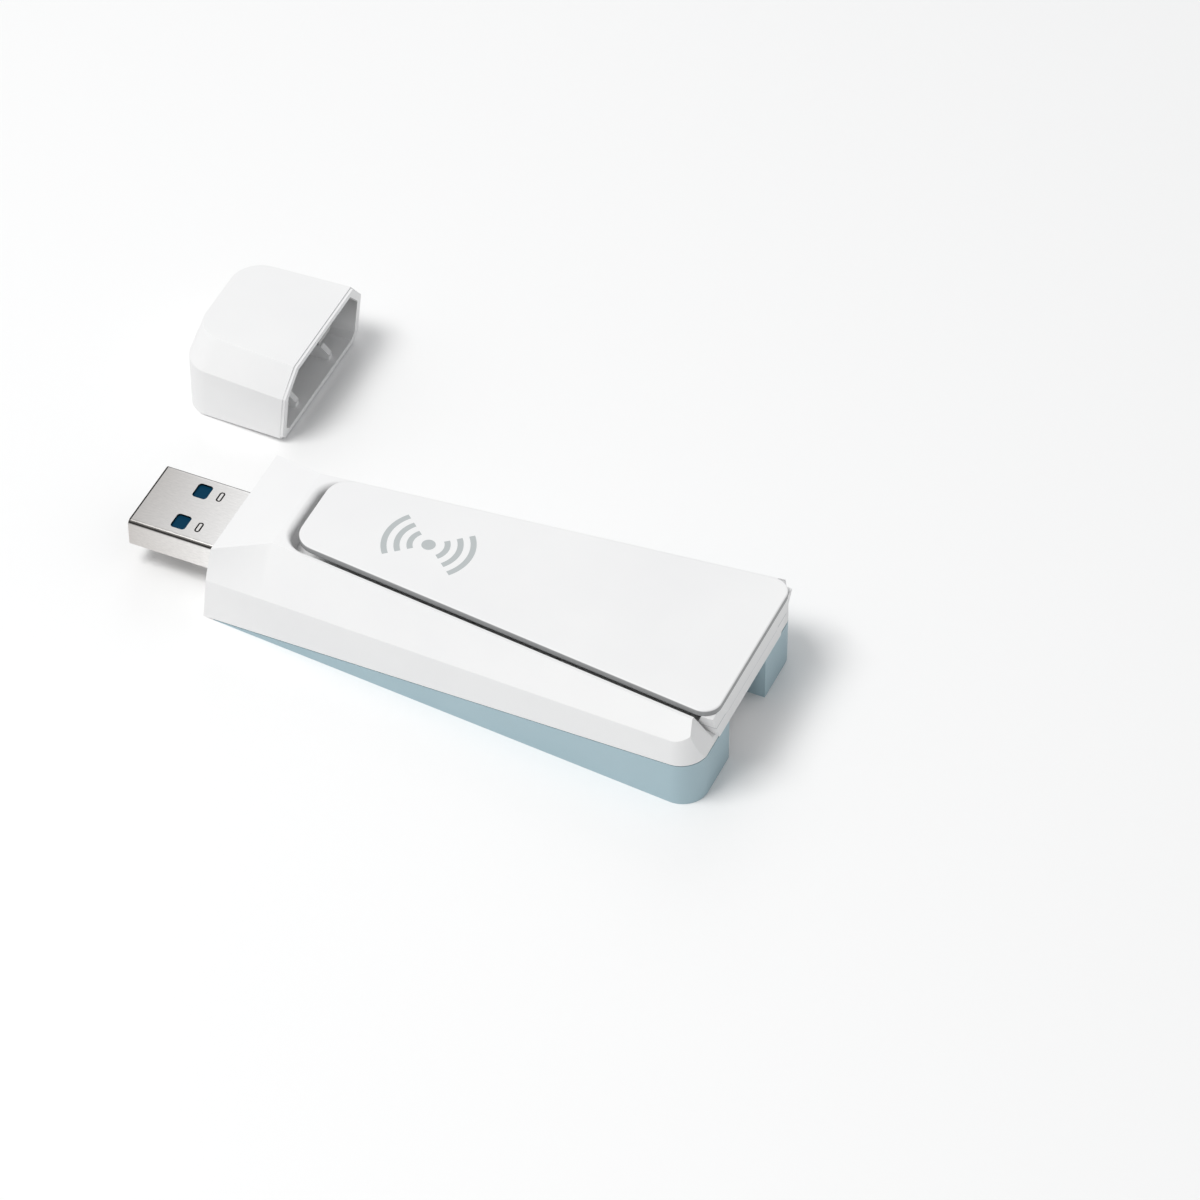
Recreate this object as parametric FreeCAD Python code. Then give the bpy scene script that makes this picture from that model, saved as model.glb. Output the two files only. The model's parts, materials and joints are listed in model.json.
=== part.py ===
"""USB wireless adapter with a flip-up antenna arm and a pull-off plug cap.

Millimetres.  +Z is up, +X runs from the USB plug to the antenna hinge, and the origin is the
middle of the flat underside of the housing.
"""
import FreeCAD, Part
import math
import os

V = FreeCAD.Vector

# ---------------------------------------------------------------- housing, overall
BODY_LENGTH = 73.9
FRONT_WIDTH = 21.6
REAR_WIDTH = 33.2
RIM_HEIGHT = 14.0
FRONT_HEIGHT = 12.1
FRONT_TOP_INSET = 1.0
FRONT_LEAN = 1.2
SHOULDER_START = 9.0
SHOULDER_INSET = 4.3
SIDE_EDGE_FRONT = 7.0
SIDE_EDGE_REAR = 11.6
REAR_LEAN = 1.8
REAR_CORNER_RADIUS = 3.6
WALL = 1.4
TOP_WALL = 1.3
FLOOR = 1.2
PARTING_START = 1.5
PARTING_REAR = 7.2
PARTING_GAP = 0.15
LIP_HEIGHT = 1.0
LIP_THICKNESS = 0.6

# ---------------------------------------------------------------- antenna arm and hinge
HINGE_SETBACK = 4.9
HINGE_HEIGHT = 3.95
ARM_TOP = 15.0
ARM_REACH = 57.4
ARM_OVERHANG = 5.7
ARM_TIP_WIDTH = 13.1
ARM_ROOT_WIDTH = 25.4
ARM_RIM = 1.0
ARM_DEPTH = 4.2
ARM_TAPER_INSET = 2.8
ARM_STEP = 0.2
ARM_TIP_RADIUS = 3.2
ARM_TIP_RADIUS_LOW = 2.4
ARM_ROOT_RADIUS = 2.4
ARM_WALL = 1.0
ARM_CLEARANCE = 0.7
FINGER_GAP = 1.2
RIM_LAND = 0.3
RIM_ROUND = 1.0
RIM_ROUND_STEPS = 6
RIM_FADE = 7.0
SKIRT_THICKNESS = 1.6
SKIRT_INNER_RADIUS = 6.6
SKIRT_RUNNING_GAP = 0.3
SKIRT_TAPER = 0.5
KNUCKLE_WIDTH = 11.3
KNUCKLE_RADIUS = 3.5
KNUCKLE_NECK = 4.8
KNUCKLE_SKIRT_GAP = 0.6
BARREL_WIDTH = 10.3
SLOT_CLEARANCE = 0.3
PIN_RADIUS = 1.5
PIN_BORE = 0.8
PIN_RUNNING_CLEARANCE = 0.05
PIN_INNER_END = 3.3
LUG_WIDTH = 3.0
LUG_RADIUS = 6.1
BAY_WALL = 1.0
BAY_SETBACK = 5.6
BAY_ROOT = 0.6
WASHER_THICKNESS = 0.5
WASHER_RADIUS = 2.8

# ---------------------------------------------------------------- USB plug
PLUG_WIDTH = 12.0
PLUG_HEIGHT = 4.5
PLUG_REACH = 13.3
PLUG_SHELL_LENGTH = 18.8
PLUG_CENTRE_HEIGHT = 5.75
PLUG_SHEET = 0.3
PLUG_CORNER = 0.7
PLUG_FIT = 0.12
WINDOW_SETBACK = 5.45
WINDOW_LENGTH = 2.15
WINDOW_WIDTH = 2.7
WINDOW_OFFSET = 3.17
WINDOW_CORNER = 0.5
DIMPLE_SETBACK = 9.2
DIMPLE_WIDTH = 0.8
DIMPLE_LENGTH = 1.9
DIMPLE_RING = 0.22
DIMPLE_DEPTH = 0.2
TONGUE_THICKNESS = 1.85
TONGUE_FIT = 0.05
TONGUE_SETBACK = 0.5
CARRIER_LENGTH = 7.4
CONTACT_THICKNESS = 0.2
USB2_CONTACT_WIDTH = 1.0
USB2_CONTACT_YS = (-3.5, -1.0, 1.0, 3.5)
USB2_CONTACT_SETBACK = 1.4
SUPERSPEED_CONTACT_WIDTH = 0.7
SUPERSPEED_CONTACT_YS = (-4.4, -2.2, 0.0, 2.2, 4.4)
SUPERSPEED_CONTACT_SETBACK = 8.6
SUPERSPEED_DROP = 0.55
TAIL_REACH = 1.3
TAIL_STAGGER = 1.1
FOOT_LENGTH = 0.4

# ---------------------------------------------------------------- electronics
PCB_THICKNESS = 1.0
PCB_START = 1.9
PCB_END_SETBACK = 12.6
PCB_SIDE_GAP = 0.9
FRONT_SCREW_SETBACK = 12.5
REAR_SCREW_SETBACK = 6.8
SCREW_SIDE_GAP = 2.8
SCREW_RADIUS = 0.8
SCREW_HEAD_RADIUS = 1.5
SCREW_HEAD_HEIGHT = 0.8
SCREW_LENGTH = 2.1
SCREW_SLOT_WIDTH = 0.35
SCREW_SLOT_REACH = 0.9
SCREW_SLOT_DEPTH = 0.4
BOSS_RADIUS = 1.9
SHIELD_START = 20.0
SHIELD_LENGTH = 24.0
SHIELD_WIDTH = 17.0
SHIELD_HEIGHT = 2.1
SHIELD_SHEET = 0.2
SHIELD_SKIRT_LIFT = 0.7
CHIP_SIZE = 9.0
CHIP_THICKNESS = 0.9
CHIP_OFFSET = 9.0
FRONT_END_SIZE = 3.0
FRONT_END_THICKNESS = 0.75
FRONT_END_OFFSET = 19.0
FRONT_END_SPREAD = 4.6
CRYSTAL_SIZE = (3.2, 2.5, 0.7)
CRYSTAL_OFFSET = (2.4, 6.2)
SPREADER_THICKNESS = 0.8
SPREADER_INSET = 1.0
POWER_OFFSET = 2.7
INDUCTOR_SIZE = 3.0
INDUCTOR_HEIGHT = 1.5
REGULATOR_SIZE = (2.9, 2.8, 0.9)
POWER_START = 14.6
SMD_SIZE = (1.0, 0.5, 0.5)
SMD_PITCH = 1.5
SMD_ROW_COUNT = 8
SMD_ROW_PITCH = 2.0
SMD_SETBACK = 2.0
SOCKET_RADIUS = 1.0
SOCKET_BASE = 2.6
SOCKET_BASE_HEIGHT = 0.35
SOCKET_HEIGHT = 0.6
SOCKET_SETBACK = 10.3
SOCKET_SCREW_PITCH = 4.2
COAX_PLUG_HEIGHT = 1.0
COAX_PLUG_RADIUS = 1.5
CRIMP_LENGTH = 1.2
CRIMP_WALL = 0.2
COAX_RADIUS = 0.56
COAX_SEAT = 0.2
COAX_RISE = 0.72
COAX_BEND = 2.2
COAX_ARM_BEND = 1.1
COAX_STRAIGHT = 6.0
COAX_SIDESTEP = 11.5
COAX_SIDE_GAP = 1.6
COAX_AXIS_GAP = 0.15
COAX_ARM_OFFSET = 1.7
ARM_BOARD_THICKNESS = 0.6
ARM_BOARD_LENGTH = 40.0
ARM_BOARD_INSET = 4.6
ARM_BOARD_GAP = 1.2
ARM_BOARD_DROP = 0.3
ARM_RIB_INSET = 2.25
ARM_RIB_THICKNESS = 0.5
ARM_RIB_HEIGHT = 0.4
ARM_COAX_OVERLAP = 2.0
ARM_COAX_LIFT = 0.05
TRACE_THICKNESS = 0.05
TRACE_WIDTH = 0.8
TRACE_PITCH = 4.0
TRACE_COUNT = 6

# ---------------------------------------------------------------- plug cap
CAP_WIDTH = 24.0
CAP_HEIGHT = 12.2
CAP_LENGTH = 15.8
CAP_TOP_INSET = 3.1
CAP_TOP_INSET_INNER = 2.8
CAP_SIDE_EDGE = 8.4
CAP_SIDE_EDGE_INNER = 7.9
CAP_TIP_TAPER = 1.0
CAP_TIP_RADIUS = 4.4
CAP_END_SLOPE = 0.8
CAP_LOW_ROUND = 1.1
CAP_WALL = 1.2
CAP_END_WALL = 1.0
CAP_LIP_STEP = 0.2
CAP_LIP_DEPTH = 0.4
CAP_RIB_WIDTH = 1.0
CAP_RIB_OFFSET = 5.2
CAP_RIB_CLEARANCE = 0.15
CAP_RIB_SETBACK = 0.9
CAP_RIB_NOSE = 1.2
CAP_PAD_WIDTH = 3.6
CAP_PAD_DROP = 0.8
CAP_SEAT_GAP = 0.3
CAP_PARKED_BACK = 4.9
CAP_PARKED_SIDE = 35.0

# ---------------------------------------------------------------- worked out
FRONT_X = -BODY_LENGTH / 2
REAR_X = BODY_LENGTH / 2
HINGE_X = REAR_X - HINGE_SETBACK
ARM_TIP_X = HINGE_X - ARM_REACH
ARM_END_X = HINGE_X + ARM_OVERHANG
ARM_FLARE = (ARM_ROOT_WIDTH - ARM_TIP_WIDTH) / 2 / ARM_REACH
ARM_SPLIT = ARM_TOP - ARM_RIM
ARM_UNDERSIDE = ARM_TOP - ARM_DEPTH
ARM_FLOOR_TOP = ARM_UNDERSIDE + ARM_WALL
POCKET_FLOOR = ARM_UNDERSIDE - ARM_CLEARANCE
SWEEP_RADIUS = SKIRT_INNER_RADIUS - SKIRT_RUNNING_GAP
SLOT_HALF = KNUCKLE_WIDTH / 2 + SLOT_CLEARANCE
PLUG_TIP_X = FRONT_X - PLUG_REACH
PLUG_END_X = PLUG_TIP_X + PLUG_SHELL_LENGTH
PLUG_BOTTOM = PLUG_CENTRE_HEIGHT - PLUG_HEIGHT / 2
PLUG_TOP = PLUG_CENTRE_HEIGHT + PLUG_HEIGHT / 2
TONGUE_BOTTOM = PLUG_TOP - PLUG_SHEET - TONGUE_FIT - TONGUE_THICKNESS
PCB_TOP = PLUG_BOTTOM
PCB_BOTTOM = PCB_TOP - PCB_THICKNESS
PCB_START_X = FRONT_X + PCB_START
PCB_END_X = REAR_X - PCB_END_SETBACK
SHIELD_X = FRONT_X + SHIELD_START
SHIELD_TOP = PCB_TOP + SHIELD_HEIGHT
COAX_HEIGHT = PCB_TOP + SOCKET_BASE_HEIGHT + COAX_RISE
COAX_ARM_HEIGHT = ARM_FLOOR_TOP + COAX_RADIUS + ARM_COAX_LIFT
# Cutting tools run past the piece they cut: BEYOND is the overshoot, TALL and WIDE clear everything.
BEYOND = 1.0
TALL = 40.0
WIDE = 60.0


# ---------------------------------------------------------------- small helpers
def box(x0, x1, y0, y1, z0, z1):
    """Axis-aligned block between two corners."""
    return Part.makeBox(x1 - x0, y1 - y0, z1 - z0, V(x0, y0, z0))


def slab(x0, x1, half_width, z0, z1):
    """Block that is symmetric about the middle plane."""
    return box(x0, x1, -half_width, half_width, z0, z1)


def cylinder(radius, height, x, y, z, axis=V(0, 0, 1)):
    return Part.makeCylinder(radius, height, V(x, y, z), axis)


def polygon_wire(points):
    """Closed wire through 3-D points."""
    return Part.makePolygon([V(*p) for p in points] + [V(*points[0])])


def prism(points, z0, z1):
    """Upright prism on a plan outline."""
    wire = polygon_wire([(x, y, z0) for x, y in points])
    return Part.Face(wire).extrude(V(0, 0, z1 - z0))


def side_prism(points, half_width):
    """Prism across the body on a side-view outline of (x, z) points."""
    wire = polygon_wire([(x, -half_width, z) for x, z in points])
    return Part.Face(wire).extrude(V(0, 2 * half_width, 0))


def end_prism(points, x0, x1):
    """Prism along the body on an end-view outline of (y, z) points."""
    wire = polygon_wire([(x0, y, z) for y, z in points])
    return Part.Face(wire).extrude(V(x1 - x0, 0, 0))


def rounded_wire(points, radii, z):
    """Closed plan outline with an arc of its own radius at each corner (0 keeps it sharp)."""
    count = len(points)
    starts = []
    ends = []
    middles = []
    for i in range(count):
        corner = V(points[i][0], points[i][1], z)
        before = V(points[i - 1][0], points[i - 1][1], z) - corner
        after = V(points[(i + 1) % count][0], points[(i + 1) % count][1], z) - corner
        before.normalize()
        after.normalize()
        half_angle = before.getAngle(after) / 2
        reach = radii[i] / math.tan(half_angle)
        bisector = before + after
        bisector.normalize()
        centre = corner + bisector * (radii[i] / math.sin(half_angle))
        starts.append(corner + before * reach)
        ends.append(corner + after * reach)
        middles.append(centre - bisector * radii[i])
    edges = []
    for i in range(count):
        if radii[i] > 0:
            edges.append(Part.Arc(starts[i], middles[i], ends[i]).toShape())
        edges.append(Part.LineSegment(ends[i], starts[(i + 1) % count]).toShape())
    return Part.Wire(edges)


def rounded_prism(points, radii, z0, z1):
    return Part.Face(rounded_wire(points, radii, z0)).extrude(V(0, 0, z1 - z0))


def mirrored(shape):
    """The same piece on the other side of the middle plane."""
    return shape.mirror(V(0, 0, 0), V(0, 1, 0))


def both_sides(shape):
    return [shape, mirrored(shape)]


def swept_tube(points, bend, radius):
    """Round cable through points, with a tangent arc of one bend radius at every corner."""
    stations = [V(*p) for p in points]
    edges = []
    last = stations[0]
    for i in range(1, len(stations) - 1):
        corner = stations[i]
        back = (stations[i - 1] - corner).normalize()
        ahead = (stations[i + 1] - corner).normalize()
        half_angle = back.getAngle(ahead) / 2
        reach = bend / math.tan(half_angle)
        inward = (back + ahead).normalize()
        middle = corner + inward * (bend / math.sin(half_angle) - bend)
        edges.append(Part.LineSegment(last, corner + back * reach).toShape())
        edges.append(Part.Arc(corner + back * reach, middle, corner + ahead * reach).toShape())
        last = corner + ahead * reach
    edges.append(Part.LineSegment(last, stations[-1]).toShape())
    path = Part.Wire(edges)
    start_direction = (stations[1] - stations[0]).normalize()
    circle = Part.Wire(Part.makeCircle(radius, stations[0], start_direction))
    return path.makePipeShell([circle], True, False)


# ---------------------------------------------------------------- housing
def half_width(x):
    """Half the housing's plan width at station x."""
    share = (x - FRONT_X) / BODY_LENGTH
    return (FRONT_WIDTH + (REAR_WIDTH - FRONT_WIDTH) * share) / 2


def arm_half_width(x):
    """Half the antenna arm's width at station x."""
    return ARM_TIP_WIDTH / 2 + ARM_FLARE * (x - ARM_TIP_X)


def side_edge_height(x):
    share = (x - FRONT_X) / BODY_LENGTH
    return SIDE_EDGE_FRONT + (SIDE_EDGE_REAR - SIDE_EDGE_FRONT) * share


def parting_height(x):
    """Height of the line where the white top housing meets the blue bottom shell."""
    slope = PARTING_REAR / (BODY_LENGTH - PARTING_START)
    return slope * (x - FRONT_X - PARTING_START)


def plan_prism(inset, z0, z1):
    """Housing plan outline, inset from the outside, as an upright prism."""
    front = FRONT_X + inset
    rear = REAR_X - inset
    points = [(front, -half_width(front) + inset), (rear, -half_width(rear) + inset),
              (rear, half_width(rear) - inset), (front, half_width(front) - inset)]
    corner = REAR_CORNER_RADIUS - inset
    return rounded_prism(points, [0, corner, corner, 0], z0, z1)


def shoulder_section(x, edge_y, top_y, top_z):
    """Wire around everything outside the sloping shoulder at one station."""
    edge_z = side_edge_height(x)
    return polygon_wire([(x, edge_y, edge_z), (x, top_y, top_z), (x, top_y, TALL),
                         (x, WIDE, TALL), (x, WIDE, edge_z)])


def shoulder_cut():
    """Material outside one sloping shoulder: steep at the plug end and shallow at the hinge."""
    front = FRONT_X
    lean_x = FRONT_X + FRONT_LEAN
    crest = FRONT_X + SHOULDER_START
    end = REAR_X + BEYOND
    front_top = FRONT_WIDTH / 2 - FRONT_TOP_INSET
    crest_top = half_width(crest) - SHOULDER_INSET
    end_top = arm_half_width(end) + ARM_CLEARANCE + RIM_LAND
    rise = (RIM_HEIGHT - FRONT_HEIGHT) / (SHOULDER_START - FRONT_LEAN)
    drift = (front_top - crest_top) / (SHOULDER_START - FRONT_LEAN)
    early = front - BEYOND
    back = lean_x - early
    early_top = front_top + drift * back
    early_height = FRONT_HEIGHT - rise * back
    sections = [
        shoulder_section(early, half_width(early), early_top, early_height),
        shoulder_section(crest, half_width(crest), crest_top, RIM_HEIGHT),
        shoulder_section(end, half_width(end), end_top, RIM_HEIGHT),
    ]
    return Part.makeLoft(sections, True, True)


def housing_body():
    """Solid outer form of both shells together."""
    body = plan_prism(0, 0, RIM_HEIGHT)
    lean_x = FRONT_X + FRONT_LEAN
    crest = FRONT_X + SHOULDER_START
    rise = (RIM_HEIGHT - FRONT_HEIGHT) / (SHOULDER_START - FRONT_LEAN)
    early = FRONT_X - BEYOND
    early_z = FRONT_HEIGHT - rise * (FRONT_LEAN + BEYOND)
    nose = side_prism([(early, early_z), (crest, RIM_HEIGHT), (crest, TALL), (early, TALL)], WIDE)
    front_lean = side_prism([(FRONT_X, 0), (lean_x, FRONT_HEIGHT), (lean_x, TALL), (early, TALL),
                             (early, 0)], WIDE)
    lean_base = parting_height(REAR_X)
    late = REAR_X + BEYOND
    rear_lean = side_prism([(REAR_X, lean_base), (REAR_X - REAR_LEAN, RIM_HEIGHT),
                            (REAR_X - REAR_LEAN, TALL), (late, TALL), (late, lean_base)], WIDE)
    shoulder = shoulder_cut()
    body = body.cut([nose, front_lean, rear_lean, shoulder, mirrored(shoulder)])
    return body


def below_parting(raise_by):
    """Everything under the sloping parting plane."""
    x0 = FRONT_X - BEYOND
    x1 = REAR_X + BEYOND
    return side_prism([(x0, -TALL), (x1, -TALL), (x1, parting_height(x1) + raise_by),
                       (x0, parting_height(x0) + raise_by)], WIDE)


def arm_outline(inset, tip_radius, z, rear_x):
    """Rounded plan wire of the antenna arm; a negative inset makes it larger."""
    tip = ARM_TIP_X + inset
    points = [(tip, -arm_half_width(tip) + inset), (rear_x, -arm_half_width(rear_x) + inset),
              (rear_x, arm_half_width(rear_x) - inset), (tip, arm_half_width(tip) - inset)]
    root = ARM_ROOT_RADIUS
    return rounded_wire(points, [tip_radius, root, root, tip_radius], z)


def arm_frustum(grow, top, bottom, rear_x):
    """Tapered underside of the arm, grown outward and downward to make pockets."""
    low = arm_outline(ARM_TAPER_INSET - grow, ARM_TIP_RADIUS_LOW + grow, bottom, rear_x)
    high = arm_outline(ARM_STEP - grow, ARM_TIP_RADIUS + grow, top, rear_x)
    return Part.makeLoft([low, high], True, True)


def finger_outline(grow, z):
    """Plan wire of the finger gap, grown at the arm's tip and fading out along its sides."""
    tip = ARM_TIP_X - FINGER_GAP - grow
    half = arm_half_width(ARM_TIP_X) + grow
    rear = ARM_TIP_X + RIM_FADE
    rear_half = arm_half_width(rear)
    points = [(tip, -half), (rear, -rear_half), (rear, rear_half), (tip, half)]
    radius = ARM_TIP_RADIUS + grow
    return rounded_wire(points, [radius, 0, 0, radius], z)


def finger_gap():
    """Well at the arm's tip whose upper edge is rounded over."""
    depth = RIM_HEIGHT + BEYOND - POCKET_FLOOR
    well = Part.Face(finger_outline(0, POCKET_FLOOR)).extrude(V(0, 0, depth))
    sections = []
    for i in range(RIM_ROUND_STEPS + 1):
        angle = math.pi / 2 * i / RIM_ROUND_STEPS
        grow = RIM_ROUND * (1 - math.cos(angle))
        drop = RIM_ROUND * (1 - math.sin(angle))
        sections.append(finger_outline(grow, RIM_HEIGHT - drop))
    lip = Part.makeLoft(sections, True, True)
    return [well, lip]


def pocket():
    """Recess in the top housing that the closed arm lies in, with room for a fingertip at its tip."""
    rear = REAR_X + ARM_ROOT_RADIUS + 2 * BEYOND
    frustum = arm_frustum(ARM_CLEARANCE, RIM_HEIGHT, POCKET_FLOOR, rear)
    over = Part.Face(arm_outline(ARM_STEP - ARM_CLEARANCE, ARM_TIP_RADIUS, RIM_HEIGHT, rear))
    over = over.extrude(V(0, 0, BEYOND))
    return frustum.fuse([over] + finger_gap())


def notch_section(x):
    """End-view wire of the rear opening at one station, as wide as the arm with its clearance."""
    high_half = arm_half_width(x) + ARM_CLEARANCE - ARM_STEP
    low = parting_height(REAR_X)
    high = RIM_HEIGHT + BEYOND
    low_half = high_half - SKIRT_TAPER * (RIM_HEIGHT - low)
    return polygon_wire([(x, -low_half, low), (x, low_half, low), (x, high_half, RIM_HEIGHT),
                         (x, high_half, high), (x, -high_half, high), (x, -high_half, RIM_HEIGHT)])


def rear_notch():
    """Tapered opening in the rear wall for the arm's skirt."""
    notch = Part.makeLoft([notch_section(HINGE_X), notch_section(REAR_X + BEYOND)], True, True)
    core = cylinder(SWEEP_RADIUS, 2 * WIDE, HINGE_X, -WIDE, HINGE_HEIGHT, V(0, 1, 0))
    return notch.cut(core)


def knuckle_slot():
    """Clear slot for the hinge knuckle, open at the top, the rear and the underside."""
    return slab(HINGE_X - BAY_SETBACK, REAR_X + BEYOND, SLOT_HALF, -BEYOND, RIM_HEIGHT + BEYOND)


def inner_cavity():
    """Space inside the shells, one wall thickness inside the outer form and under the pocket."""
    lowered = housing_body()
    lowered.translate(V(0, 0, -TOP_WALL))
    cavity = plan_prism(WALL, FLOOR, RIM_HEIGHT).common(lowered)
    rear = REAR_X + ARM_ROOT_RADIUS + WALL + 2 * BEYOND
    cover = arm_frustum(ARM_CLEARANCE + WALL, RIM_HEIGHT + TOP_WALL, POCKET_FLOOR - TOP_WALL, rear)
    tip = ARM_TIP_X - FINGER_GAP - WALL
    fade_end = ARM_TIP_X + RIM_FADE
    half = arm_half_width(fade_end) + WALL
    finger = slab(tip, fade_end + WALL, half, POCKET_FLOOR - TOP_WALL, RIM_HEIGHT)
    return cavity.cut([cover, finger])


def hinge_bay():
    """Lugs and back wall of the hinge, moulded on the bottom shell."""
    solids = []
    outer = SLOT_HALF + LUG_WIDTH
    for side in (-1, 1):
        y0 = min(side * SLOT_HALF, side * outer)
        lug = cylinder(LUG_RADIUS, LUG_WIDTH, HINGE_X, y0, HINGE_HEIGHT, V(0, 1, 0))
        block = box(HINGE_X - BAY_SETBACK, REAR_X - WALL, y0, y0 + LUG_WIDTH,
                    0, POCKET_FLOOR - TOP_WALL)
        solids.append(lug.common(block))
    wall = slab(HINGE_X - BAY_SETBACK - BAY_WALL, HINGE_X - BAY_SETBACK, outer, FLOOR - BAY_ROOT,
                HINGE_HEIGHT + PIN_RADIUS)
    solids.append(wall)
    return solids


def pin_bore(radius):
    return cylinder(radius, 2 * WIDE, HINGE_X, -WIDE, HINGE_HEIGHT, V(0, 1, 0))


def screw_places():
    places = []
    for x in (FRONT_X + FRONT_SCREW_SETBACK, PCB_END_X - REAR_SCREW_SETBACK):
        y = half_width(x) - WALL - SCREW_SIDE_GAP
        places.append((x, -y))
        places.append((x, y))
    return places


def joint_lip():
    """Tongue on the bottom shell that locates the top housing."""
    ring = plan_prism(WALL - LIP_THICKNESS, 0, RIM_HEIGHT)
    ring = ring.cut(plan_prism(WALL, 0, TALL))
    band = below_parting(LIP_HEIGHT).cut(below_parting(-LIP_HEIGHT))
    lip = ring.common(band)
    behind_front = box(PCB_START_X, REAR_X - WALL - REAR_CORNER_RADIUS, -WIDE, WIDE, 0, TALL)
    return lip.common(behind_front)


def floor_plate(grow):
    """Flat floor of the bottom shell where the parting line has run out at the plug end."""
    return plan_prism(WALL - grow, 0, FLOOR)


def make_bottom_shell():
    body = housing_body()
    outside = body.common(below_parting(0)).fuse(body.common(floor_plate(0)))
    shell = outside.cut(inner_cavity())
    bosses = []
    for x, y in screw_places():
        bosses.append(cylinder(BOSS_RADIUS, PCB_BOTTOM - FLOOR + BAY_ROOT, x, y, FLOOR - BAY_ROOT))
    shell = shell.fuse(bosses + hinge_bay() + [joint_lip()])
    holes = []
    for x, y in screw_places():
        holes.append(cylinder(SCREW_RADIUS, PCB_BOTTOM, x, y, PCB_TOP - SCREW_LENGTH))
    reach = SLOT_HALF + LUG_WIDTH
    lug_bore = cylinder(PIN_RADIUS, 2 * reach, HINGE_X, -reach, HINGE_HEIGHT, V(0, 1, 0))
    shell = shell.cut(holes + [knuckle_slot(), lug_bore])
    return shell.removeSplitter()


def make_top_housing():
    body = housing_body()
    shell = body.cut([below_parting(PARTING_GAP), floor_plate(PARTING_GAP), inner_cavity()])
    shell = shell.cut([joint_lip(), pocket(), rear_notch(), knuckle_slot()])
    opening = slab(FRONT_X - BEYOND, FRONT_X + WALL + FRONT_LEAN, PLUG_WIDTH / 2 + PLUG_FIT,
                   PLUG_BOTTOM - PLUG_FIT, PLUG_TOP + PLUG_FIT)
    shell = shell.cut(opening).removeSplitter()
    return shell


# ---------------------------------------------------------------- USB plug
def plug_tube(x0, x1, inset, corner):
    """Rounded rectangular bar along X, concentric with the plug."""
    half = PLUG_WIDTH / 2 - inset
    low = PLUG_BOTTOM + inset
    high = PLUG_TOP - inset
    bar = slab(x0, x1, half, low, high)
    long_edges = [e for e in bar.Edges if abs(e.tangentAt(e.FirstParameter).x) > 0.9]
    return bar.makeFillet(corner, long_edges)


def plug_windows():
    windows = []
    for side in (-1, 1):
        centre = side * WINDOW_OFFSET
        x = PLUG_TIP_X + WINDOW_SETBACK
        low = centre - WINDOW_WIDTH / 2
        high = centre + WINDOW_WIDTH / 2
        end = x + WINDOW_LENGTH
        corners = [(x, low), (end, low), (end, high), (x, high)]
        radii = [WINDOW_CORNER] * len(corners)
        windows.append(rounded_prism(corners, radii, PLUG_BOTTOM - BEYOND, PLUG_TOP + BEYOND))
    return windows


def oval_prism(x, y, width, length, z0, z1):
    """Upright slot-shaped prism, long across the plug."""
    straight = (length - width) / 2
    middle = box(x - width / 2, x + width / 2, y - straight, y + straight, z0, z1)
    ends = [cylinder(width / 2, z1 - z0, x, y + s * straight, z0) for s in (-1, 1)]
    return middle.fuse(ends)


def plug_dimples():
    """Fine oval grooves stamped behind the latch windows."""
    grooves = []
    for side in (-1, 1):
        x = PLUG_TIP_X + DIMPLE_SETBACK
        y = side * WINDOW_OFFSET
        low = PLUG_TOP - DIMPLE_DEPTH
        high = PLUG_TOP + BEYOND
        ring = 2 * DIMPLE_RING
        outer = oval_prism(x, y, DIMPLE_WIDTH, DIMPLE_LENGTH, low, high)
        inner = oval_prism(x, y, DIMPLE_WIDTH - ring, DIMPLE_LENGTH - ring, low, high)
        grooves.append(outer.cut(inner))
    return grooves


def make_usb_plug_shell():
    outer = plug_tube(PLUG_TIP_X, PLUG_END_X, 0, PLUG_CORNER)
    inner = plug_tube(PLUG_TIP_X - BEYOND, PLUG_END_X + BEYOND, PLUG_SHEET, PLUG_CORNER - PLUG_SHEET)
    return outer.cut([inner] + plug_windows() + plug_dimples())


def contact_strip(y, width, x0, z0, tail_x):
    """Flat contact that runs back along the insulator and steps down to the circuit board."""
    left = y - width / 2
    right = y + width / 2
    strip = box(x0, tail_x, left, right, z0, z0 + CONTACT_THICKNESS)
    down = box(tail_x - CONTACT_THICKNESS, tail_x, left, right, PCB_TOP, z0)
    foot = box(tail_x - CONTACT_THICKNESS, tail_x + FOOT_LENGTH, left, right,
               PCB_TOP, PCB_TOP + CONTACT_THICKNESS)
    return strip.fuse([down, foot])


def make_usb2_contacts():
    strips = []
    for y in USB2_CONTACT_YS:
        strips.append(contact_strip(y, USB2_CONTACT_WIDTH, PLUG_TIP_X + USB2_CONTACT_SETBACK,
                                    TONGUE_BOTTOM, PLUG_END_X + TAIL_REACH))
    return Part.makeCompound(strips)


def make_superspeed_contacts():
    low = TONGUE_BOTTOM - SUPERSPEED_DROP
    strips = []
    for y in SUPERSPEED_CONTACT_YS:
        strips.append(contact_strip(y, SUPERSPEED_CONTACT_WIDTH,
                                    PLUG_TIP_X + SUPERSPEED_CONTACT_SETBACK, low,
                                    PLUG_END_X + TAIL_REACH + TAIL_STAGGER))
    return Part.makeCompound(strips)


def make_usb_insulator():
    """Blue tongue under the plug's top and the block behind it that grips every contact."""
    inset = PLUG_SHEET + TONGUE_FIT
    block = plug_tube(PLUG_TIP_X + TONGUE_SETBACK, PLUG_END_X, inset, PLUG_CORNER - PLUG_SHEET)
    mouth = slab(PLUG_TIP_X, PLUG_END_X - CARRIER_LENGTH, PLUG_WIDTH / 2, PLUG_BOTTOM, TONGUE_BOTTOM)
    block = block.cut(mouth)
    return block.cut([make_usb2_contacts(), make_superspeed_contacts()])


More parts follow.
